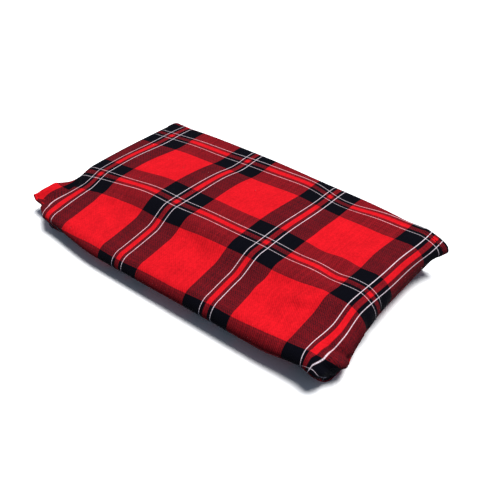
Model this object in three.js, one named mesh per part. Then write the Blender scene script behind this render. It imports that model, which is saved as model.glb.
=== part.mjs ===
// A Maasai shuka, the red and black checked blanket of East Africa, folded into a flat pack.
// One sheet is laid back and forth in layers. Its last layer covers the top, turns down over the
// front and both ends like a wrapping, and runs back underneath as the layer that the pack lies on.
// Millimetres, +Z up: X runs along the pack, the front is at -Y, and the origin is the middle of
// the underside.
import * as THREE from "three";

const { clamp, degToRad, lerp, smoothstep } = THREE.MathUtils;

// Driving sizes of the pack
const PACK_LENGTH = 332; // over both end walls, without the ears
const PACK_DEPTH = 201; // over the front wall and the back folds
const MIDDLE_HEIGHT = 48.5;
const LEFT_END_HEIGHT = 37;
const RIGHT_END_HEIGHT = 46.5;
const CROWN = 4; // how far the top falls from its middle line to the front and back edges
const MIDDLE_STEP = 11.5; // how far the top steps down where the inner folds end, near the front
const END_STEP = 6; // the same at both ends of the pack
const STEP_HALF_WIDTH = 14;
const STEP_Y = -47.5; // where the line of the step crosses the middle of the pack's length
const STEP_SLANT = 11; // how much nearer to the front it is at the right end
const STEP_BEND = 7.5; // how far both its ends bend to the back
const SHELF_SLOPE = 0.1; // fall of the top in front of the step, for each millimetre
const SHEET = 3; // thickness of one layer
const TOP_LEVEL = 7; // layers count from 0, the underside, to 7, the top
const FRONT_REACH = 12.5; // how far the front wall swells past the shoulder line
const END_REACH = 16; // the same at the end walls
const LIP_SHARE = 0.62; // height of a wall's furthest point, as a share of the pack's
const FRONT_FOOT = -4; // where the tucked-in front wall meets the floor, from the shoulder line
const END_FOOT = 3.5; // the same at the end walls
const CORNER_LENGTH = 40; // along the front, from a corner's foot to the tucked-in wall
const TUCK_POWER = 1.3; // how quickly a wall draws in below its furthest point
const LAYER_CLEARANCE = 1.5; // air between the wrapping and the ends of the inner layers
const UNDERSIDE_SETBACK = 14; // the hem underneath stops this short of the back folds
const INNER_END_SETBACK = 34; // the sheet's other end lies this far inside the back folds

// The back folds, from the lowest up: how far each stops short of the pack's full depth at the
// middle of its length, and how much further at the right end.
const BACK_FOLDS = [
  { lowerLevel: 2, setback: 9, slant: 5 },
  { lowerLevel: 4, setback: 8, slant: 7 },
  { lowerLevel: 6, setback: 8.5, slant: 8.5 },
];

// The front folds of the inner layers. The lowest ends this far behind the front shoulder, and the
// others this far behind the line of the step.
const LOWEST_FOLD_SETBACK = 8;
const FRONT_FOLDS = [
  { lowerLevel: 3, behindStep: 1 },
  { lowerLevel: 5, behindStep: 5 },
];

// Places where an end wall is pushed out: an ear at the left end, where the turned-down cloth
// stands open, a blunt tip at the right back corner and a swelling at the right front corner. Each
// starts to rise at riseFrom, is furthest out at peakAt, and ends at fallTo, all along Y. Crest is
// its place down the wall. A reach below 0 draws the wall in, as at the left front corner.
const EARS = [
  { end: -1, riseFrom: -34, peakAt: -76, fallTo: -94, reach: 15, crest: 0.32 },
  { end: -1, riseFrom: -78, peakAt: -98, fallTo: -125, reach: -4, crest: 0.6 },
  { end: 1, riseFrom: 40, peakAt: 84, fallTo: 120, reach: 8, crest: 0.36 },
  { end: 1, riseFrom: 20, peakAt: -72, fallTo: -112, reach: 8.5, crest: 0.5 },
];

// Pleats that take up spare cloth at the front corners: the angle round the corner from the end
// wall, half the pleat's width and how deep it is drawn in.
const CORNER_PLEATS = [
  { end: 1, angle: 22, halfWidth: 20, depth: 2.5 },
  { end: 1, angle: 62, halfWidth: 20, depth: 1.5 },
  { end: -1, angle: 42, halfWidth: 42, depth: 2.5 },
];

// Soft hollows pressed into the top: the middle of each, half its length and width, the turn of
// its length from X, and its depth.
const HOLLOWS = [
  { x: 106, y: 13, halfLength: 85, halfWidth: 20, turn: 62, depth: 1.5 },
  { x: 132, y: -8, halfLength: 45, halfWidth: 13, turn: 60, depth: 2 },
  { x: -20, y: 58, halfLength: 110, halfWidth: 24, turn: 0, depth: 2.5 },
];

// Steps of the mesh
const MIDDLE_STEPS = 16; // along the pack, between the end shoulders
const END_WALL_STEPS = 10;
const FRONT_WALL_STEPS = 12;
const TOP_STEPS = 9; // across the top, from the back folds to the finer rows beside the ear
const EAR_STEPS = 8;
const LAYER_STEPS = 5;
const FOLD_STEPS = 6;
const UNDERSIDE_STEPS = 3;

// Worked-out places
const HALF_SHEET = SHEET / 2;
const SHOULDER_X = PACK_LENGTH / 2 - END_REACH;
const SHOULDER_Y = FRONT_REACH - PACK_DEPTH / 2;
const BACK_Y = PACK_DEPTH / 2;
const UNDERSIDE_START = SHOULDER_Y - FRONT_FOOT + SHEET;
const INSET = SHEET + LAYER_CLEARANCE; // inner layers keep this far inside the wrapping's middle
const WALL_INSET = 1.4 * INSET; // the same where the wrapping slopes
const EAR_ROWS_FROM = -20;

// The line of the step, nearer to the back at the left end: a parabola along X.
function stepLine(x) {
  const alongX = x / (PACK_LENGTH / 2);
  return STEP_Y - STEP_SLANT * alongX + STEP_BEND * alongX ** 2;
}

// Height of the pack over the floor: a parabola along X through the two end heights and the
// middle height, lowered by the crown across Y, by the step and the slope in front of it, and by
// the soft hollows.
function packHeight(x, y) {
  const alongX = x / (PACK_LENGTH / 2);
  const acrossY = y / BACK_Y;
  const slope = (RIGHT_END_HEIGHT - LEFT_END_HEIGHT) / 2;
  const bend = (RIGHT_END_HEIGHT + LEFT_END_HEIGHT) / 2 - MIDDLE_HEIGHT;
  const smooth = MIDDLE_HEIGHT + slope * alongX + bend * alongX ** 2 - CROWN * acrossY ** 2;
  const inFront = stepLine(x) - y;
  const step = lerp(MIDDLE_STEP, END_STEP, alongX ** 2);
  const stepDown = step * smoothstep(inFront, -STEP_HALF_WIDTH, STEP_HALF_WIDTH);
  const shelfFall = SHELF_SLOPE * Math.max(0, inFront - STEP_HALF_WIDTH);
  const hollows = HOLLOWS.reduce((depth, hollow) => depth + hollowDepth(hollow, x, y), 0);
  return smooth - stepDown - shelfFall - hollows;
}

// A hollow is a bell curve, longer one way than the other.
function hollowDepth({ x, y, halfLength, halfWidth, turn, depth }, atX, atY) {
  const angle = degToRad(turn);
  const lengthways = ((atX - x) * Math.cos(angle) + (atY - y) * Math.sin(angle)) / halfLength;
  const widthways = ((atY - y) * Math.cos(angle) - (atX - x) * Math.sin(angle)) / halfWidth;
  return depth * Math.exp(-2 * (lengthways ** 2 + widthways ** 2));
}

// Height of the middle of a layer. The layers share the pack's height evenly, and where it is low
// the inner ones lie on the underside.
function levelHeight(level, x, y) {
  const whole = packHeight(x, y) - SHEET;
  const even = (whole * level) / TOP_LEVEL;
  return HALF_SHEET + Math.min(whole, Math.max(even, level * INSET));
}

// How far past the shoulder line an inner layer may go inside an end wall.
function roomInEndWall(level, x, y) {
  const whole = packHeight(x, y) - SHEET;
  const lip = LIP_SHARE * whole;
  const overLip = levelHeight(level, x, y) - HALF_SHEET - lip;
  const bulge = END_REACH - HALF_SHEET;
  const reach =
    overLip > 0
      ? bulge * Math.sqrt(1 - Math.min(1, overLip / (whole - lip)) ** 2)
      : lerp(bulge, END_FOOT, (-overLip / lip) ** TUCK_POWER);
  return Math.max(0, reach - WALL_INSET);
}

// The X of an inner layer's point: share runs from -1 at the left end to 1 at the right end.
function layerX(share, level, y) {
  const shoulder = SHOULDER_X * Math.sign(share);
  return share * (SHOULDER_X + roomInEndWall(level, shoulder, y));
}

// The outward push of the ears at a place on an end wall, down being 0 at the top and 1 at the
// lower edge. Past the shoulder, y goes on round the front corner.
function earPush(end, y, down) {
  return EARS.filter((ear) => ear.end === end).reduce((push, ear) => {
    const rise = smoothstep(-Math.abs(y - ear.peakAt), -Math.abs(ear.riseFrom - ear.peakAt), 0);
    const fall = smoothstep(-Math.abs(y - ear.peakAt), -Math.abs(ear.fallTo - ear.peakAt), 0);
    const beforePeak = (y - ear.peakAt) * (ear.riseFrom - ear.peakAt) > 0;
    const above = smoothstep(down, 0.02, ear.crest);
    const below = 1 - smoothstep(down, ear.crest, 0.85);
    return push + ear.reach * (beforePeak ? rise : fall) * above * below;
  }, 0);
}

// How far the corner pleats draw the wall in at an angle round the corner.
function pleatDraw(end, angle, down) {
  return CORNER_PLEATS.filter((pleat) => pleat.end === end).reduce((draw, pleat) => {
    const off = clamp(Math.abs(angle - degToRad(pleat.angle)) / degToRad(pleat.halfWidth), 0, 1);
    return draw + pleat.depth * Math.cos((off * Math.PI) / 2) ** 2 * Math.sin(down * Math.PI) ** 2;
  }, 0);
}

// A point of a wall: it leaves the shoulder at (x, y), faces the angle round the corner (0 for an
// end wall, a right angle for the front) and lies a share of the way down from the top. The upper
// half is a quarter of an ellipse, and the lower half draws in from the lip to the foot.
function wallPoint(end, x, y, angle, down) {
  const whole = packHeight(x, y) - SHEET;
  const lip = LIP_SHARE * whole;
  const frontShare = Math.sin(angle) ** 2;
  const bulge = lerp(END_REACH, FRONT_REACH, frontShare) - HALF_SHEET;
  const fromCorner = smoothstep(SHOULDER_X - Math.abs(x), 0, CORNER_LENGTH);
  const foot = lerp(END_FOOT, FRONT_FOOT, frontShare * fromCorner);
  const quarter = Math.min(1, 2 * down) * (Math.PI / 2);
  const tuck = Math.max(0, 2 * down - 1);
  const wall = lerp(bulge * Math.sin(quarter), foot, tuck ** TUCK_POWER);
  const push = earPush(end, y - bulge * angle, down) * Math.cos(angle);
  const out = wall + push - pleatDraw(end, angle, down);
  return new THREE.Vector3(
    x + end * out * Math.cos(angle),
    y - out * Math.sin(angle),
    HALF_SHEET + lip * (1 - tuck) + (whole - lip) * Math.cos(quarter),
  );
}

// A column of the grid: its end, its share of the half length, and how far it lies down an end wall.
const columns = [];
for (let i = -END_WALL_STEPS - MIDDLE_STEPS / 2; i <= END_WALL_STEPS + MIDDLE_STEPS / 2; i += 1) {
  const end = Math.sign(i) || 1;
  const steps = Math.abs(i);
  columns.push({
    end,
    share: end * Math.min(1, steps / (MIDDLE_STEPS / 2)),
    down: Math.max(0, steps - MIDDLE_STEPS / 2) / END_WALL_STEPS,
  });
}

// Rows of the grid in the order in which the sheet runs. A narrow row stops at the shoulders, and
// a full one goes on down the end walls.
const rows = [];

function addRow(full, place) {
  rows.push(columns.map((column) => (full || column.down === 0 ? place(column) : null)));
}

// One pass of an inner layer between two lines across Y, each a function of X.
function addLayer(level, fromY, toY) {
  for (let step = 0; step <= LAYER_STEPS; step += 1) {
    addRow(false, ({ share }) => {
      const alongX = SHOULDER_X * share;
      const y = lerp(fromY(alongX), toY(alongX), step / LAYER_STEPS);
      const x = layerX(share, level, y);
      return new THREE.Vector3(x, y, levelHeight(level, x, y));
    });
  }
}

// A half-round fold up from one level to the next, at the front (-1) or the back (1).
function addFold(lowerLevel, side, startY) {
  for (let step = 1; step < FOLD_STEPS; step += 1) {
    const turn = (step / FOLD_STEPS) * Math.PI;
    const level = lowerLevel + (1 - Math.cos(turn)) / 2;
    addRow(false, ({ share }) => {
      const alongX = SHOULDER_X * share;
      const start = startY(alongX);
      const x = layerX(share, level, start);
      const y = start + side * foldRadius(alongX) * Math.sin(turn);
      return new THREE.Vector3(x, y, levelHeight(level, x, start));
    });
  }
}

function foldRadius(x) {
  return (packHeight(x, 0) - SHEET) / TOP_LEVEL / 2;
}

// Where the layers turn into a front fold: at the front shoulder or behind the step.
function frontStart(lowerLevel) {
  const fold = FRONT_FOLDS.find((row) => row.lowerLevel === lowerLevel);
  const line = (x) => (fold ? stepLine(x) + fold.behindStep : SHOULDER_Y + LOWEST_FOLD_SETBACK);
  return (x) => line(x) + foldRadius(x);
}

// Where the layers turn into a back fold.
function backStart({ setback, slant }) {
  return (x) =>
    BACK_Y - HALF_SHEET - setback - (slant * x) / (PACK_LENGTH / 2) - foldRadius(x);
}

// The six inner layers, each with the fold that leads up from it. The sheet's end comes first.
const innerEnd = () => BACK_Y - INNER_END_SETBACK;
const backStarts = new Map(BACK_FOLDS.map((fold) => [fold.lowerLevel, backStart(fold)]));
for (let level = 1; level < TOP_LEVEL; level += 1) {
  const towardsFront = level % 2 === 1;
  const front = frontStart(towardsFront ? level : level - 1);
  const back = backStarts.get(towardsFront ? level - 1 : level) ?? innerEnd;
  addLayer(level, towardsFront ? back : front, towardsFront ? front : back);
  addFold(level, towardsFront ? -1 : 1, towardsFront ? front : back);
}

// The top, from the last back fold to the front shoulder, with both end walls.
const topStart = backStarts.get(TOP_LEVEL - 1);

function addTopRow(share, fromY, toY) {
  addRow(true, (column) => {
    const x = SHOULDER_X * column.share;
    const y = lerp(fromY(x), toY, share);
    return column.down === 0
      ? new THREE.Vector3(x, y, levelHeight(TOP_LEVEL, x, y))
      : wallPoint(column.end, x, y, 0, column.down);
  });
}

for (let step = 0; step < TOP_STEPS; step += 1) {
  addTopRow(step / TOP_STEPS, topStart, EAR_ROWS_FROM);
}
for (let step = 0; step <= EAR_STEPS; step += 1) {
  addTopRow(step / EAR_STEPS, () => EAR_ROWS_FROM, SHOULDER_Y);
}

// The front wall. At the corners square rings of the grid become round the wall's quarter turns,
// and the last ring is left open at its corner.
for (let step = 1; step <= FRONT_WALL_STEPS; step += 1) {
  const frontDown = step / FRONT_WALL_STEPS;
  addRow(true, ({ end, share, down }) => {
    if (frontDown + down === 2) return null;
    const angle = Math.atan2(frontDown, down);
    return wallPoint(end, SHOULDER_X * share, SHOULDER_Y, angle, Math.max(frontDown, down));
  });
}

// The underside, from the foot of the front wall to its hem below the back folds.
const firstUndersideRow = rows.length;
for (let step = 0; step <= UNDERSIDE_STEPS; step += 1) {
  addRow(false, ({ share }) => {
    const y = lerp(UNDERSIDE_START, BACK_Y - UNDERSIDE_SETBACK, step / UNDERSIDE_STEPS);
    return new THREE.Vector3(SHOULDER_X * share, y, HALF_SHEET);
  });
}

// The direction across the sheet at a grid point, from its neighbours along both ways of the grid.
// The underside lies level.
function sheetNormal(row, column) {
  if (row >= firstUndersideRow) return new THREE.Vector3(0, 0, -1);
  const at = (r, c) => rows[r]?.[c] ?? null;
  const here = at(row, column);
  const alongRow = new THREE.Vector3().subVectors(
    at(row, column + 1) ?? here,
    at(row, column - 1) ?? here,
  );
  const alongSheet = new THREE.Vector3().subVectors(
    at(row + 1, column) ?? here,
    at(row - 1, column) ?? here,
  );
  return alongSheet.cross(alongRow).normalize();
}

// A closed solid of the sheet: each grid point gives a point on both faces, half the thickness to
// either side, and every open edge of the grid gets a strip that joins the two faces.
function sheetGeometry() {
  const positions = [];
  const triangles = [];
  const pairs = rows.map((row, r) =>
    row.map((point, c) => {
      if (!point) return null;
      const offset = sheetNormal(r, c).multiplyScalar(HALF_SHEET);
      const first = positions.length / 3;
      positions.push(...point.clone().add(offset), ...point.clone().sub(offset));
      return { upper: first, lower: first + 1 };
    }),
  );
  const openEdges = new Map();
  const walk = (from, to) => {
    const back = `${to.upper} ${from.upper}`;
    if (!openEdges.delete(back)) openEdges.set(`${from.upper} ${to.upper}`, [from, to]);
  };
  for (let r = 0; r + 1 < rows.length; r += 1) {
    for (let c = 0; c + 1 < columns.length; c += 1) {
      const corners = [pairs[r][c], pairs[r + 1][c], pairs[r + 1][c + 1], pairs[r][c + 1]];
      if (corners.includes(null)) continue;
      const [a, b, d, e] = corners;
      triangles.push(a.upper, b.upper, d.upper, a.upper, d.upper, e.upper);
      triangles.push(a.lower, d.lower, b.lower, a.lower, e.lower, d.lower);
      corners.forEach((corner, k) => walk(corner, corners[(k + 1) % corners.length]));
    }
  }
  for (const [from, to] of openEdges.values()) {
    triangles.push(from.upper, from.lower, to.lower, from.upper, to.lower, to.upper);
  }
  const geometry = new THREE.BufferGeometry();
  geometry.setAttribute("position", new THREE.Float32BufferAttribute(positions, 3));
  geometry.setIndex(triangles);
  geometry.computeVertexNormals();
  return geometry;
}

const cloth = new THREE.Mesh(
  sheetGeometry(),
  new THREE.MeshStandardMaterial({ color: 0xc81a22, roughness: 0.92, metalness: 0 }),
);
cloth.name = "shuka_cloth";

const blanket = new THREE.Group();
blanket.name = "folded_shuka";
blanket.add(cloth);

export default blanket;
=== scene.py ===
import bpy
import numpy as np
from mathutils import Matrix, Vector


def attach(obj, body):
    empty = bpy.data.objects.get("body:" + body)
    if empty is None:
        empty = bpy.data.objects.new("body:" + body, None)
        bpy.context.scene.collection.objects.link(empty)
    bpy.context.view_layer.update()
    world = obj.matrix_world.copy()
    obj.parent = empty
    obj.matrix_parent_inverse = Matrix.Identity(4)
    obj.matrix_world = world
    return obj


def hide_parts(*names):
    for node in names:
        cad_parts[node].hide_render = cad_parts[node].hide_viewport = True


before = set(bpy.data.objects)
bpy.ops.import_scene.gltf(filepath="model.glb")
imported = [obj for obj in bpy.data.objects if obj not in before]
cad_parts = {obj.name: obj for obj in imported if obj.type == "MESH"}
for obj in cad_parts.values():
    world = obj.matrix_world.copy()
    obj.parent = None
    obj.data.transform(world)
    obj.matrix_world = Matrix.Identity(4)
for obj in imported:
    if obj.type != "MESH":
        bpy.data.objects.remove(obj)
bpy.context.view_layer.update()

# The camera
# It looks down on the pack's front right corner, so the front and the right end both show.
# Its lens is written as the focal length in pixels of a picture 500 pixels wide.
AZIMUTH, ELEVATION = np.radians((38.74, 38.27))
DISTANCE = 0.6292
TARGET = Vector((0.0487, -0.031, 0.040))
FOCAL_PIXELS, PICTURE_PIXELS = 752, 500

towards_camera = Vector((
    np.sin(AZIMUTH) * np.cos(ELEVATION),
    -np.cos(AZIMUTH) * np.cos(ELEVATION),
    np.sin(ELEVATION),
))
camera_data = bpy.data.cameras.new("camera")
camera_data.sensor_width = 36
camera_data.lens = camera_data.sensor_width * FOCAL_PIXELS / PICTURE_PIXELS
camera = bpy.data.objects.new("camera", camera_data)
camera.location = TARGET + towards_camera * DISTANCE
camera.rotation_euler = towards_camera.to_track_quat("Z", "Y").to_euler()
bpy.context.collection.objects.link(camera)
bpy.context.scene.camera = camera

# The cloth
# A shuka is one brushed twill blanket of about 1.5 by 2.0 m with narrow sewn hems, folded in six
# along its length. The strip that this makes is laid back and forth in eight layers, and the last
# one covers the top, turns down over the front and both ends, and lies underneath.

# Sizes are millimetres, from the middle of the underside
METRE = 1000
PACK_LENGTH, PACK_DEPTH = 332, 201
MIDDLE_HEIGHT, LEFT_END_HEIGHT, RIGHT_END_HEIGHT = 48.5, 37, 46.5
CROWN = 4
PLY = 1.2
HALF_PLY = PLY / 2
END_REACH, FRONT_REACH = 16, 12.5
SHOULDER_X = PACK_LENGTH / 2 - END_REACH
SHOULDER_Y = FRONT_REACH - PACK_DEPTH / 2
BACK_Y = PACK_DEPTH / 2

# Near the front the inner folds end, and the top steps down to a shelf that slopes a little
MIDDLE_STEP, END_STEP = 11.5, 6
STEP_Y, STEP_SLANT, STEP_BEND, STEP_HALF_WIDTH = -47.5, 11, 7.5, 14
SHELF_SLOPE = 0.1

# Soft hollows in the top: middle, half length, half width, turn of the length from X, depth
HOLLOWS = (
    (106, 13, 85, 20, 62, 1.5),
    (132, -8, 45, 13, 60, 2.0),
    (-20, 58, 110, 24, 0, 2.5),
)


def smoothstep(value, low, high):
    """0 below low, 1 above high, and 3 t^2 - 2 t^3 between them."""
    t = np.clip((value - low) / (high - low), 0, 1)
    return t * t * (3 - 2 * t)


def blend(first, second, share):
    """From the first to the second, in a straight line."""
    return first + (second - first) * share


def pack_height(x, y):
    """A parabola along X through the end heights, lowered by a crown across Y, the step along its
    own line, which is a parabola too, the shelf's slope and the hollows."""
    along, across = x / (PACK_LENGTH / 2), y / BACK_Y
    slope = (RIGHT_END_HEIGHT - LEFT_END_HEIGHT) / 2
    bend = (RIGHT_END_HEIGHT + LEFT_END_HEIGHT) / 2 - MIDDLE_HEIGHT
    height = MIDDLE_HEIGHT + slope * along + bend * along**2 - CROWN * across**2
    in_front = STEP_Y - STEP_SLANT * along + STEP_BEND * along**2 - y
    step = blend(MIDDLE_STEP, END_STEP, along**2)
    height = height - step * smoothstep(in_front, -STEP_HALF_WIDTH, STEP_HALF_WIDTH)
    height = height - SHELF_SLOPE * np.maximum(0, in_front - STEP_HALF_WIDTH)
    for at_x, at_y, half_length, half_width, turn, depth in HOLLOWS:
        cos, sin = np.cos(np.radians(turn)), np.sin(np.radians(turn))
        lengthways = ((x - at_x) * cos + (y - at_y) * sin) / half_length
        widthways = ((y - at_y) * cos - (x - at_x) * sin) / half_width
        height = height - depth * np.exp(-2 * (lengthways**2 + widthways**2))
    return height


# The back folds: how far the lowest, middle and top one stop short of the full depth at the
# middle of the pack, how much further at the right end, and how far each edge wanders. Near both
# ends they are pressed flatter.
BACK_FOLDS = ((9, 5, 1.2), (8, 7, 0.9), (8.5, 8.5, 0.5))
TOP_FOLD = len(BACK_FOLDS) - 1
FOLD_REACH, FLAT_END, FLATTENING = 6.5, 22, 0.8
LONG_WANDER, SHORT_WANDER, SHORT_WANDER_SHARE = 31, 17, 0.6


def fold_reach(x):
    """How far a back fold swells past its start: the full reach less a smooth step at both ends."""
    return FOLD_REACH * (1 - FLATTENING * smoothstep(np.abs(x), SHOULDER_X - FLAT_END, SHOULDER_X))


def back_start(fold, x):
    """Where a back fold leaves its layer: the depth less setback, slant and a wander of two sines."""
    setback, slant, wander = BACK_FOLDS[fold]
    waves = np.sin(x / LONG_WANDER + 2 * fold) + SHORT_WANDER_SHARE * np.sin(x / SHORT_WANDER + fold)
    edge = BACK_Y - HALF_PLY - setback - slant * x / (PACK_LENGTH / 2) + wander * waves
    return edge - fold_reach(x)


# Places where an end wall is pushed out and lowered. Along Y each starts, peaks and stops, and down
# the wall it rises, holds and falls, at shares of the way. In order: the ear, the ridge behind it,
# the valley above it, the drawn-in left corner, the back tip, and the swelling at the right.
EAR_SHARPNESS = 1.5
EARS = (
    (-1, (-31, -75, -82), (0.10, 0.36, 0.46, 0.70), 20, 1),
    (-1, (-28, -54, -74), (0.20, 0.42, 0.52, 0.80), 4, -3.5),
    (-1, (-38, -74, -90), (0.08, 0.22, 0.26, 0.44), 0, 9),
    (-1, (-74, -92, -125), (0.05, 0.50, 0.60, 0.95), -5, 0),
    (1, (48, 84, 120), (0.10, 0.36, 0.42, 0.64), 10, 0),
    (1, (20, -72, -112), (0.05, 0.45, 0.70, 1.10), 8.5, 0),
)

# Pleats at the front corners: end, angle round the corner from the end wall, half width, depth
PLEATS = (
    (1, 80, 45, 3.0),
    (1, 12, 12, 1.5),
    (-1, 60, 60, 3.0),
)

# A wall is furthest out at its lip, at a share of its height, and draws in below it to a foot. Feet
# are measured out from the shoulder line: away from the corners the front wall's is tucked under.
# The whole front is drawn back at the left. The right corner is squarer, stands upright and is
# tucked back below, and the corners' hems are lifted to make room for their second ply.
LIP_SHARE, LEFT_LIP_SHARE = 0.62, 0.76
END_FOOT, FRONT_FOOT, LEFT_FOOT, CORNER_FOOT, RIGHT_FOOT = 3.5, -4, 2.5, 1, 13
FOOT_POWER = 1.3
RIGHT_TUCK, TUCK_START, TUCK_END = 11, 0.4, 0.9
HEM_LIFT = 1.0
CORNER_LENGTH = 40
LEFT_DRAW, LEFT_DRAW_FROM = 7, 70
RIGHT_SQUARENESS = 0.7


def near_left(x):
    """A smooth step from 0 to 1 towards the left shoulder."""
    return smoothstep(-x, LEFT_DRAW_FROM, SHOULDER_X)


def front_shoulder(x):
    """The line where the top turns down to the front wall, drawn back at the left end."""
    return SHOULDER_Y + LEFT_DRAW * near_left(x)


def ear_push(end, run, down, angle):
    """How far the ears push a wall out and lower it: along the wall a power of the share of the way
    from start or stop to the peak, down the wall a smooth step up and a smooth step down."""
    pushed, dropped = np.zeros_like(run), np.zeros_like(run)
    for ear_end, (start, peak, stop), (low, full, hold, high), reach, drop in EARS:
        edge = np.where((run - peak) * (start - peak) > 0, start, stop)
        rise = np.clip(1 - (run - peak) / (edge - peak), 0, 1) ** EAR_SHARPNESS
        face = smoothstep(down, low, full) * (1 - smoothstep(down, hold, high))
        push = (end == ear_end) * rise * face * np.cos(angle)
        pushed, dropped = pushed + reach * push, dropped + drop * push
    return pushed, dropped


def pleat_draw(end, down, angle):
    """How far the pleats draw a corner in: a squared cosine of the angle from the pleat's middle,
    times a squared sine that is 0 at the shoulder and at the foot."""
    draw = np.zeros_like(down)
    for pleat_end, at, half_width, depth in PLEATS:
        off = np.clip(np.abs(angle - np.radians(at)) / np.radians(half_width), 0, 1)
        bell = np.cos(off * np.pi / 2) ** 2 * np.sin(down**2 * np.pi) ** 2
        draw = draw + (end == pleat_end) * depth * bell
    return draw


def wrap(across, along):
    """The outer layer as a grid of two parameters. Across runs from -1 to 1 over the top between
    the end shoulders and to -2 and 2 down the end walls. Along runs from 0 at the top back fold to
    1 at the front shoulder and 2 at the foot of the front wall. The upper half of a wall is a
    quarter of an ellipse that leaves the shoulder level, the lower half is a power curve, and at a
    corner the quarter turn follows the larger of the two ways down. Ears and pleats are added, but
    never draw a wall further in than its foot."""
    end = np.where(across < 0, -1, 1)
    x = np.clip(across, -1, 1) * SHOULDER_X
    y = blend(back_start(TOP_FOLD, x), front_shoulder(x), np.minimum(along, 1))
    down_end, down_front = np.maximum(np.abs(across) - 1, 0), np.maximum(along - 1, 0)
    down, angle = np.maximum(down_end, down_front), np.arctan2(down_front, down_end)
    whole = pack_height(x, y) - PLY
    facing_front = np.sin(angle) ** 2
    bulge = blend(END_REACH, FRONT_REACH, facing_front) - HALF_PLY
    from_corner = smoothstep(SHOULDER_X - np.abs(x), 0, CORNER_LENGTH)
    near_front = smoothstep(-y, -SHOULDER_Y - CORNER_LENGTH, -SHOULDER_Y)
    lip = whole * blend(LIP_SHARE, LEFT_LIP_SHARE, near_left(x) * near_front)
    end_foot = blend(END_FOOT, np.where(end == 1, RIGHT_FOOT, LEFT_FOOT), near_front)
    front_foot = blend(np.where(end == 1, CORNER_FOOT, LEFT_FOOT), FRONT_FOOT, from_corner)
    foot = blend(end_foot, front_foot, facing_front)
    quarter = np.minimum(1, 2 * down) * np.pi / 2
    tuck = np.maximum(0, 2 * down - 1)
    swell = bulge * np.sin(quarter)
    out = blend(swell, foot, tuck**FOOT_POWER)
    z = HALF_PLY + lip * (1 - tuck) + (whole - lip) * np.cos(quarter)
    pushed, dropped = ear_push(end, y - bulge * angle, down, angle)
    at_corner = 1 - from_corner
    out = np.maximum(out + pushed - at_corner * pleat_draw(end, down, angle), np.minimum(foot, swell))
    side, front = np.cos(angle), np.sin(angle)
    out = out / np.maximum(side, front) ** (RIGHT_SQUARENESS * (end == 1))
    tucked = RIGHT_TUCK * (end == 1) * near_front * smoothstep(down, TUCK_START, TUCK_END)
    y = y + at_corner * tucked
    z = z - dropped + HEM_LIFT * down * at_corner
    return np.stack((x + end * out * side, y - out * front, z), axis=-1)


# Creases in the wrapping, in its own flat sizes: start, end, half width, lift (a trough is below 0)
CREASES = (
    ((92, 10), (136, -30), 9, -1.5),
    ((98, 44), (122, 28), 14, -0.6),
    ((84, -65), (120, -58), 6, 2.2),
    ((120, -58), (131, -47), 6, 2.2),
    ((86, -52), (106, -50), 8, -2.0),
    ((98, -76), (126, -87), 7, -1.8),
    ((-8, -50), (16, -58), 8, -2.0),
    ((0, -80), (12, -90), 7, -0.7),
    ((-96, -58), (-80, -66), 8, -1.8),
    ((-122, -50), (-100, -46), 5, 1.5),
    ((-159, -46), (-165, -75), 5, -4.5),
    ((-178, -46), (-184, -76), 5, 2.0),
    ((162, -79), (182, -71), 4, -3.6),
    ((166, -86), (184, -78), 4, 2.6),
    ((169, -92), (187, -84), 3.5, -2.4),
    ((178, -60), (174, -70), 4, -1.4),
    ((170, -12), (190, -14), 3.5, -1.5),
    ((170, -38), (192, -40), 3.5, -1.5),
)


def crease_lift(x, y):
    """The sum of soft ridges and troughs, each a bell curve of the distance from its line."""
    lift = np.zeros_like(x)
    for (x0, y0), (x1, y1), half_width, height in CREASES:
        length2 = (x1 - x0) ** 2 + (y1 - y0) ** 2
        share = np.clip(((x - x0) * (x1 - x0) + (y - y0) * (y1 - y0)) / length2, 0, 1)
        off = np.hypot(x - x0 - share * (x1 - x0), y - y0 - share * (y1 - y0))
        lift = lift + height * np.exp(-((off / half_width) ** 2))
    return lift


def grid_normals(points):
    """Unit vectors across a grid of points: the cross product of its two tangents."""
    normals = np.cross(np.gradient(points, axis=0), np.gradient(points, axis=1))
    return normals / np.linalg.norm(normals, axis=-1, keepdims=True)


def path_length(points, axis):
    """Running length of the grid lines along one axis, from 0 at the first point."""
    steps = np.linalg.norm(np.diff(points, axis=axis), axis=-1)
    start = np.zeros_like(np.take(steps, [0], axis=axis))
    return np.concatenate((start, np.cumsum(steps, axis=axis)), axis=axis)


# Steps of the grid
MIDDLE_STEPS, END_STEPS, TOP_STEPS, FRONT_STEPS = 150, 26, 84, 30
LAYER_STEPS, FOLD_STEPS, UNDERSIDE_STEPS = 7, 10, 12

end_columns = np.linspace(1, 2, END_STEPS + 1)[1:]
columns = np.concatenate((-end_columns[::-1], np.linspace(-1, 1, MIDDLE_STEPS + 1), end_columns))
middle = np.abs(columns) <= 1
middle_x = SHOULDER_X * columns[middle]
top_rows, front_rows = np.linspace(0, 1, TOP_STEPS + 1), np.linspace(1, 2, FRONT_STEPS + 1)[1:]
wrap_rows = np.concatenate((top_rows, front_rows))
wrapping = wrap(*np.meshgrid(columns, wrap_rows))

# Inner layers lie close to each other except inside the back folds, which hold the strip's plies
INNER_LAYERS = 6
FAT_GAPS = INNER_LAYERS // 2
THIN_GAPS = INNER_LAYERS + 1 - FAT_GAPS
LAYER_PITCH = PLY + 0.5
FRONT_FOLD_REACH = LAYER_PITCH / 2
INNER_END_SETBACK, UNDERSIDE_SETBACK = 34, 14
INNER_FRONT_SETBACK = 6
HEM = 7


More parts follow.
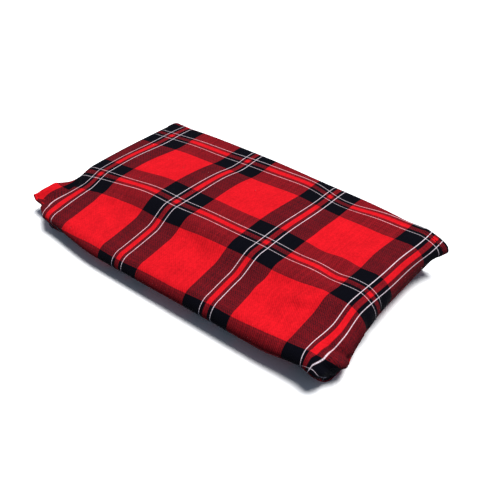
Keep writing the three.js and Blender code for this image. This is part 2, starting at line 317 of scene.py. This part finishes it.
def level_height(level, height):
    """Middle height of a layer: thin gaps are the pitch, and the fat ones share what is left."""
    fat = (height - PLY - THIN_GAPS * LAYER_PITCH) / FAT_GAPS
    fat_below = max(level - 1, 0) // 2
    return HALF_PLY + (level - fat_below) * LAYER_PITCH + fat_below * fat


def layer_rows(level, start_y, stop_y):
    """A flat pass of a layer, straight from one line across Y to another."""
    y = blend(start_y, stop_y, np.linspace(0, 1, LAYER_STEPS + 1)[:, None])
    x = middle_x + 0 * y
    return np.stack((x, y, level_height(level, pack_height(x, y))), axis=-1)


def fold_rows(lower, upper, reach):
    """A fold between the last row of one layer and the first of the next: a half ellipse."""
    turn = np.linspace(0, np.pi, FOLD_STEPS + 1)[1:-1, None, None]
    rows = lower + (upper - lower) * (1 - np.cos(turn)) / 2
    rows[..., 1] += reach * np.sin(turn[..., 0])
    return rows


# The fronts of the inner folds keep clear of the tucked-in front wall, and the lowest of its foot
tucked_line = front_shoulder(middle_x) - FRONT_FOOT
foot_line = np.maximum(tucked_line, wrapping[-1, middle, 1])
front_lines = [line + INNER_FRONT_SETBACK for line in (foot_line, tucked_line, tucked_line)]
inner_end = BACK_Y - INNER_END_SETBACK + 0 * middle_x
back_lines = [inner_end] + [back_start(fold, middle_x) for fold in range(len(BACK_FOLDS))]
layers = []
for level in range(1, INNER_LAYERS + 1):
    turns = (back_lines[level // 2], front_lines[(level - 1) // 2])
    layers.append(layer_rows(level, *(turns if level % 2 else turns[::-1])))

strip = []
for level, rows in enumerate(layers, start=1):
    following = layers[level] if level < INNER_LAYERS else wrapping[:, middle]
    reach = -FRONT_FOLD_REACH if level % 2 else fold_reach(middle_x)
    strip += [rows, fold_rows(rows[-1], following[0], reach)]
strip = np.concatenate(strip)

underside_start = foot_line + 2 * PLY
underside_end = BACK_Y - UNDERSIDE_SETBACK
underside_share = np.linspace(0, 1, UNDERSIDE_STEPS + 1)[:, None]
underside_y = blend(underside_start, underside_end - HEM, underside_share)
hem_shares = np.array([[0.9], [0.5], [0.0]])
hem_y = underside_end - HEM * hem_shares + 0 * middle_x
underside = np.concatenate((
    np.stack(np.broadcast_arrays(middle_x, underside_y, HALF_PLY), axis=-1),
    np.stack(np.broadcast_arrays(middle_x, hem_y, PLY), axis=-1),
))

# The whole sheet on one grid, with no points where a narrow row has no end flaps
row_count = len(strip) + len(wrapping) + len(underside)
sheet = np.full((row_count, len(columns), 3), np.nan)
first_wrap, first_under = len(strip), len(strip) + len(wrapping)
sheet[:first_wrap, middle] = strip
sheet[first_wrap:first_under] = wrapping
sheet[first_under:, middle] = underside
present = ~np.isnan(sheet[..., 0])

# Flat sizes: across from the pack's middle, and along the strip so that a row well behind the step
# keeps its own Y
STILL_SHARE = 0.6
still_row = first_wrap + round(STILL_SHARE * TOP_STEPS)
flat_y = np.empty(sheet.shape[:2])
run = path_length(sheet[:, middle], 0)
flat_y[:, middle] = sheet[still_row, middle, 1] + run[still_row] - run
flat_y[:, :END_STEPS] = flat_y[:, [END_STEPS]]
flat_y[:, -END_STEPS:] = flat_y[:, [-END_STEPS - 1]]
flat_x = np.tile(np.clip(columns, -1, 1) * SHOULDER_X, (row_count, 1))
wall_rows = np.minimum(np.arange(len(wrapping)), TOP_STEPS)
right_walls = path_length(wrapping[:, -END_STEPS - 1:], 1)[wall_rows, 1:]
left_walls = path_length(wrapping[:, END_STEPS::-1], 1)[wall_rows, 1:]
flat_x[first_wrap:first_under, -END_STEPS:] += right_walls
flat_x[first_wrap:first_under, :END_STEPS] -= left_walls[:, ::-1]

lift = crease_lift(flat_x, flat_y)[first_wrap:first_under, :, None]
sheet[first_wrap:first_under] += lift * grid_normals(wrapping)

# The mesh: a quad where the grid has all four corners
number = np.where(present, np.cumsum(present).reshape(present.shape) - 1, -1)
quads = np.stack((number[:-1, :-1], number[1:, :-1], number[1:, 1:], number[:-1, 1:]), axis=-1)
quads = quads.reshape(-1, 4)
quads = quads[(quads >= 0).all(axis=1)]
cloth_mesh = bpy.data.meshes.new("shuka")
cloth_mesh.from_pydata((sheet[present] / METRE).tolist(), [], quads.tolist())
cloth_mesh.shade_smooth()

# How far each point is from a hem: the end flaps' lower, back and front edges, and the underside's end
hem_off = np.full(sheet.shape[:2], np.inf)
hem_off[first_under:] = flat_y[first_under:] - flat_y[-1]
for flap, edge in ((slice(-END_STEPS, None), -1), (slice(0, END_STEPS), 0)):
    wrap_x, wrap_y = flat_x[first_wrap:first_under], flat_y[first_wrap:first_under, flap]
    to_lower = np.abs(wrap_x[:, [edge]] - wrap_x[:, flap])
    to_back, to_front = wrap_y[0] - wrap_y, wrap_y - wrap_y[-1]
    hem_off[first_wrap:first_under, flap] = np.minimum(to_lower, np.minimum(to_back, to_front))
hem_off = np.minimum(hem_off[present], 4 * HEM)
hem_attribute = cloth_mesh.attributes.new("hem_off", "FLOAT", "POINT")
hem_attribute.data.foreach_set("value", hem_off)

# The check repeats every 100 mm both ways. Its crossings fall on whole numbers of the UV map. The
# cloth lies a little askew, and at some places it is pulled: middle, reach, and pull along X and Y.
# Two of the pulls are painted shade: they move a dark band of the check onto places that lie in shade.
REPEAT = 100
CROSSING_X, CROSSING_Y = -39.5, -26
SKEW_X, SKEW_Y = -0.029, -0.027
PULLS_AND_PAINTED_SHADE = (
    (-95, -60, 55, 0, -7),
    (20, -65, 60, 0, -3),
    (135, -65, 50, 1, -5),
    (110, 55, 60, 0, 4),
    (-110, 50, 30, -4, 0),
    (-65, 0, 30, 3, -4),
    (156, -90, 18, 4, 4),
    (188, -88, 20, -10, -18),
    (78, 77, 28, 0, 8),
    (-178, -78, 22, 18, 0),
    # Painted shade: this pull moves a dark band onto the knob at the right front corner, which lies in
    # shade
    (197, -114, 20, -15, 2),
    (160, -107, 20, -1.5, -13),
    (-125, -95, 25, 0, -4),
    # Painted shade: this pull moves a dark band onto the ear's front face, which lies in shade
    (-200, -76, 14, -30, 0),
    (112, -64, 18, 3, 0),
)
check_x, check_y = flat_x + SKEW_X * flat_y - CROSSING_X, flat_y + SKEW_Y * flat_x - CROSSING_Y
for at_x, at_y, reach, pull_x, pull_y in PULLS_AND_PAINTED_SHADE:
    near = np.exp(-((flat_x - at_x) ** 2 + (flat_y - at_y) ** 2) / reach**2)
    check_x, check_y = check_x + near * pull_x, check_y + near * pull_y

# The yarns wander a little: how far, and the lengths of the waves along and beside them
WANDER = 0.4
SHORT_WAVE, SHORT_WAVE_BEND, BENDING_WAVE = 11, 1.3, 37
LONG_WAVE, LONG_WAVE_BESIDE = 23, 19


def yarn_wander(along, beside):
    """The sum of a short sine wave along the yarns, which a slow one beside them bends, and a longer
    sine wave that runs askew."""
    short = np.sin(along / SHORT_WAVE + SHORT_WAVE_BEND * np.sin(beside / BENDING_WAVE))
    long = np.sin(along / LONG_WAVE + beside / LONG_WAVE_BESIDE)
    return WANDER * (short + long)


check_x, check_y = check_x + yarn_wander(flat_y, flat_x), check_y + yarn_wander(flat_x, flat_y)
uv = np.stack((check_x, check_y), axis=-1)[present] / REPEAT
uv_layer = cloth_mesh.uv_layers.new(name="check")
uv_layer.data.foreach_set("uv", uv[quads.ravel()].ravel())


class Yarn:
    """One socket of the cloth's material. Arithmetic with numbers or others adds Math nodes."""

    def __init__(self, tree, socket=None):
        self.tree = tree
        self.socket = socket

    def node(self, kind, settings=None, sockets=None, output=0):
        """Add a node, set its settings and then its sockets' values or links. Give one output."""
        node = self.tree.nodes.new(kind)
        for name, value in (settings or {}).items():
            setattr(node, name, value)
        for name, value in (sockets or {}).items():
            if isinstance(value, Yarn):
                self.tree.links.new(value.socket, node.inputs[name])
            else:
                node.inputs[name].default_value = value
        return Yarn(self.tree, node.outputs[output]) if node.outputs else None

    def math(self, operation, *values):
        """One Math node on values or others."""
        return self.node("ShaderNodeMath", {"operation": operation}, dict(enumerate(values)))

    def __add__(self, other):
        return self.math("ADD", self, other)

    __radd__ = __add__

    def __sub__(self, other):
        return self.math("SUBTRACT", self, other)

    def __rsub__(self, other):
        return self.math("SUBTRACT", other, self)

    def __mul__(self, other):
        return self.math("MULTIPLY", self, other)

    __rmul__ = __mul__

    def __abs__(self):
        return self.math("ABSOLUTE", self)

    def fraction(self):
        return self.math("FRACT", self)

    def floor(self):
        return self.math("FLOOR", self)

    def clamp(self):
        return self.node("ShaderNodeClamp", None, {"Value": self})

    def above(self, edge, softness):
        """0 below the edge and 1 above it, with a smooth step as wide as twice the softness."""
        sockets = {"Value": self, "From Min": edge - softness, "From Max": edge + softness}
        return self.node("ShaderNodeMapRange", {"interpolation_type": "SMOOTHSTEP"}, sockets)

    def mix(self, first, second):
        """A colour from first to second, with this value as the share of the second."""
        sockets = {0: self, 6: first, 7: second}
        return self.node("ShaderNodeMix", {"data_type": "RGBA"}, sockets, 2)

    def tint(self, colour):
        """The colour times this value."""
        settings = {"data_type": "RGBA", "blend_type": "MULTIPLY"}
        return self.node("ShaderNodeMix", settings, {0: 1, 6: colour, 7: self}, 2)


RED, BLACK, WHITE = (0.51, 0.006, 0.011, 1), (0.002, 0.002, 0.004, 1), (0.62, 0.59, 0.64, 1)
DUSK = (0.009, 0.006, 0.009, 1)
# Half of the check's dark group from its middle line: ends of the red core, the first black, the
# white line and the broad black, in mm. What is left of the repeat is plain red.
CORE, INNER_BLACK, WHITE_LINE, BROAD_BLACK = 2.3, 5.55, 6.15, 23.5
SOFT_EDGE = 0.2
THREAD, TWILL_THREADS = 0.55, 4
STITCH, STITCH_GAP, STITCH_HALF_WIDTH = 4, 0.35, 0.4

cloth_material = bpy.data.materials.new("brushed_twill")
cloth_material.use_nodes = True
tree = cloth_material.node_tree
tree.nodes.clear()
start = Yarn(tree)
map_point = start.node("ShaderNodeUVMap", {"uv_map": "check"})
u, v = (start.node("ShaderNodeSeparateXYZ", None, {0: map_point}, k) for k in (0, 1))


def stripes(coordinate):
    """Shares of black and of white yarn over one direction, from the distance to the group."""
    off = abs((coordinate + 0.5).fraction() - 0.5) * REPEAT
    edges = (CORE, INNER_BLACK, WHITE_LINE, BROAD_BLACK)
    core, inner, line, broad = (off.above(edge, SOFT_EDGE) for edge in edges)
    return core - inner + line - broad, inner - line


def yarn_colour(dark, light):
    """Red yarn, black by the share of dark and then white by the share of light."""
    return light.mix(dark.mix(RED, BLACK), WHITE)


def thread_tone(coordinate):
    """A grey from 0 to 1 that is the same all along a thread."""
    index = (coordinate * (REPEAT / THREAD)).floor()
    return start.node("ShaderNodeTexWhiteNoise", {"noise_dimensions": "1D"}, {"W": index})


def fuzz(scale, detail):
    """Noise over the cloth, with so many lumps in each repeat of the check."""
    sockets = {"Vector": map_point, "Scale": scale, "Detail": detail, "Roughness": 0.6}
    return start.node("ShaderNodeTexNoise", {"noise_dimensions": "2D"}, sockets)


warp_dark, warp_light = stripes(u)
weft_dark, weft_light = stripes(v)
lint, nap, wear = fuzz(130, 3), fuzz(45, 2), fuzz(7, 2)
# The twill's slanting ribs are a triangle wave from -1 to 1
twill = abs(((u + v) * (REPEAT / (TWILL_THREADS * THREAD))).fraction() - 0.5) * 4 - 1
# The warp shows more than the weft, by a share that changes with the ribs, the lint and the threads
WARP_SHARE = 0.64
warp_shows = WARP_SHARE + 0.14 * twill + 1.2 * (lint - 0.5) + 0.1 * (warp_light - weft_light)
warp_shows = warp_shows + 0.2 * (thread_tone(u) - thread_tone(v))
cloth_colour = warp_shows.clamp().mix(
    yarn_colour(weft_dark, weft_light),
    yarn_colour(warp_dark, warp_light),
)
# Where black crosses red the black nap covers more of the red, and everywhere it varies a little
NAP_COVER = 0.55
crossed = abs(warp_dark - weft_dark) * (1 - warp_light) * (1 - weft_light)
cloth_colour = (NAP_COVER * crossed).mix(cloth_colour, DUSK)
shade = 0.88 + 0.5 * (nap - 0.5) + 0.3 * (wear - 0.5) + 0.12 * thread_tone(u)
cloth_colour = shade.tint(cloth_colour)
# A row of stitches holds each hem
hem_place = start.node("ShaderNodeAttribute", {"attribute_name": "hem_off"}, None, 2)
stitch_row = 1 - abs(hem_place - (HEM - 1)).above(STITCH_HALF_WIDTH, 0.1)
stitches = stitch_row * ((u - v) * (REPEAT / STITCH)).fraction().above(STITCH_GAP, 0.05)
cloth_colour = stitches.mix(cloth_colour, BLACK)
relief = start.node("ShaderNodeBump", None, {
    "Strength": 0.5,
    "Distance": 0.0004,
    "Height": 0.35 * twill + 1.2 * lint + 1.6 * nap - 1.5 * stitch_row + 2 * stitches,
})

surface = start.node("ShaderNodeBsdfPrincipled", None, {
    "Base Color": cloth_colour,
    "Roughness": 0.84 + 0.2 * lint,
    "Normal": relief,
    "Specular IOR Level": 0.02,
    "Sheen Weight": 0.005,
    "Sheen Roughness": 0.6,
})
start.node("ShaderNodeOutputMaterial", None, {"Surface": surface})

cloth = bpy.data.objects.new("shuka", cloth_mesh)
bpy.context.collection.objects.link(cloth)
cloth_mesh.materials.append(cloth_material)
# A hem has two plies, and the rest of the cloth half of that
hem_group = cloth.vertex_groups.new(name="hem")
hem_group.add(np.flatnonzero(hem_off < HEM).tolist(), 1, "REPLACE")
thickness = cloth.modifiers.new("ply", "SOLIDIFY")
thickness.thickness = 2 * PLY / METRE
thickness.vertex_group = hem_group.name
thickness.thickness_vertex_group = 0.5
thickness.offset = 0
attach(cloth, "root")
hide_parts("shuka_cloth")

# The floor and the light
# The pack lies on a plain white studio floor of painted board, which bounces no light back up. One
# high soft light stands a little to the right, and a faint blue sky fills the shadows.
FLOOR_REACH = 9
LIGHT_FROM = Vector((0.24, 0.03, 1.0))

floor_mesh = bpy.data.meshes.new("floor")
floor_corners = [(x * FLOOR_REACH, y * FLOOR_REACH, 0) for x, y in ((-1, -1), (1, -1), (1, 1), (-1, 1))]
floor_mesh.from_pydata(floor_corners, [], [(0, 1, 2, 3)])
floor = bpy.data.objects.new("floor", floor_mesh)
bpy.context.collection.objects.link(floor)
floor_material = bpy.data.materials.new("white_board")
floor_material.use_nodes = True
board = floor_material.node_tree.nodes["Principled BSDF"]
board.inputs["Base Color"].default_value = (0.9, 0.9, 0.9, 1)
board.inputs["Roughness"].default_value = 0.8
floor_mesh.materials.append(floor_material)
floor.visible_diffuse = False

sun_data = bpy.data.lights.new("key", "SUN")
sun_data.energy = 5.6
sun_data.angle = np.radians(24)
sun = bpy.data.objects.new("key", sun_data)
sun.rotation_euler = LIGHT_FROM.to_track_quat("Z", "Y").to_euler()
bpy.context.collection.objects.link(sun)

world = bpy.data.worlds.new("studio")
world.use_nodes = True
sky = world.node_tree.nodes["Background"]
sky.inputs["Color"].default_value = (0.62, 0.76, 1, 1)
sky.inputs["Strength"].default_value = 0.24
bpy.context.scene.world = world
bpy.context.scene.view_settings.view_transform = "Standard"
